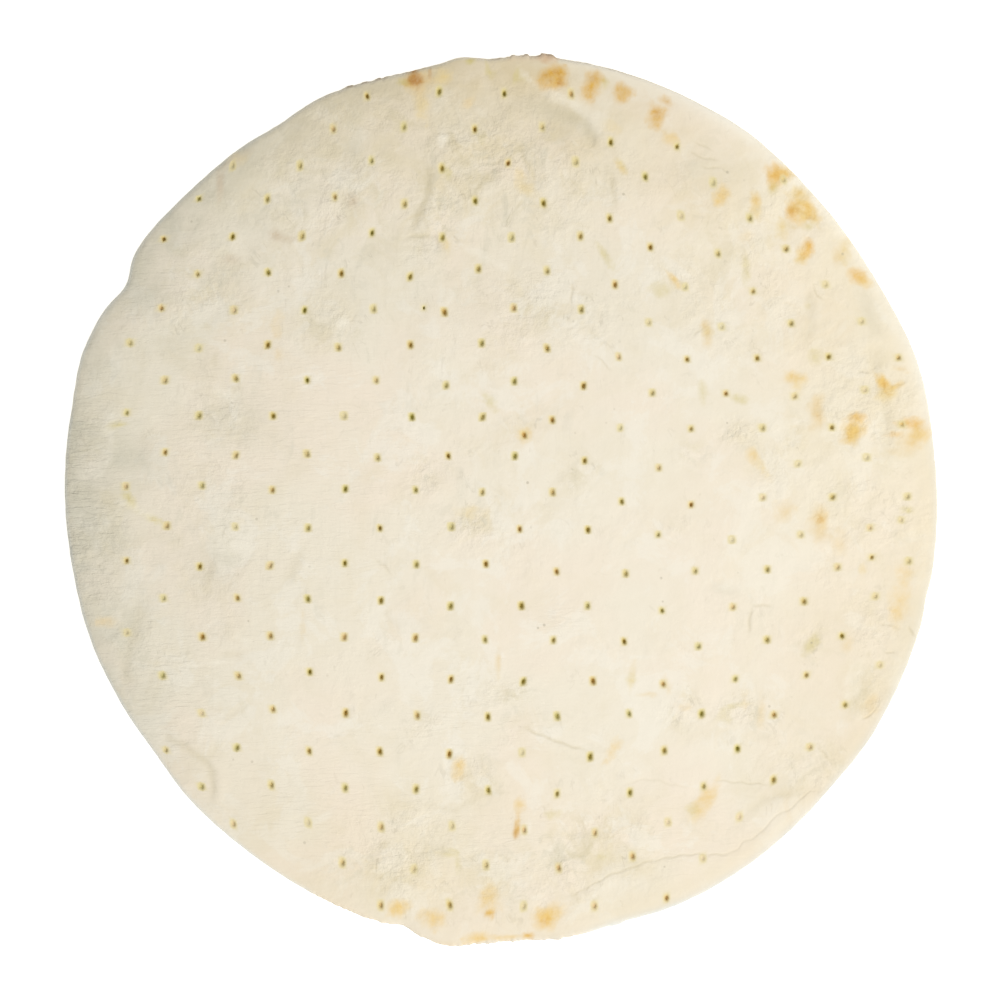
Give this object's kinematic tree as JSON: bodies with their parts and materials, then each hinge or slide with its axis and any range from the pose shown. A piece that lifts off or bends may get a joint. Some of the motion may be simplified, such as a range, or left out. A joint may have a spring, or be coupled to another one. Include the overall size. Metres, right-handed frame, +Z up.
{
  "type": "pizza crust",
  "caption": "Thin round par-baked pizza crust, pale and dry, with staggered docking pits, browned spots near its rim and an uneven edge.",
  "frame": {"origin": "on the flat underside, under the middle of the crust's bounding box", "axes": "+Z up out of the docked top, +Y towards the crumb flap at the top of the picture, +X to the right of the picture"},
  "size_m": [0.3034, 0.3108, 0.0053],
  "materials": {
    "dough": "dry, matt, pale cream par-baked dough skin with faint flour, light brown spots and darker docking pits"
  },
  "bodies": {
    "root": {"crust": "dough"}
  },
  "joints": []
}
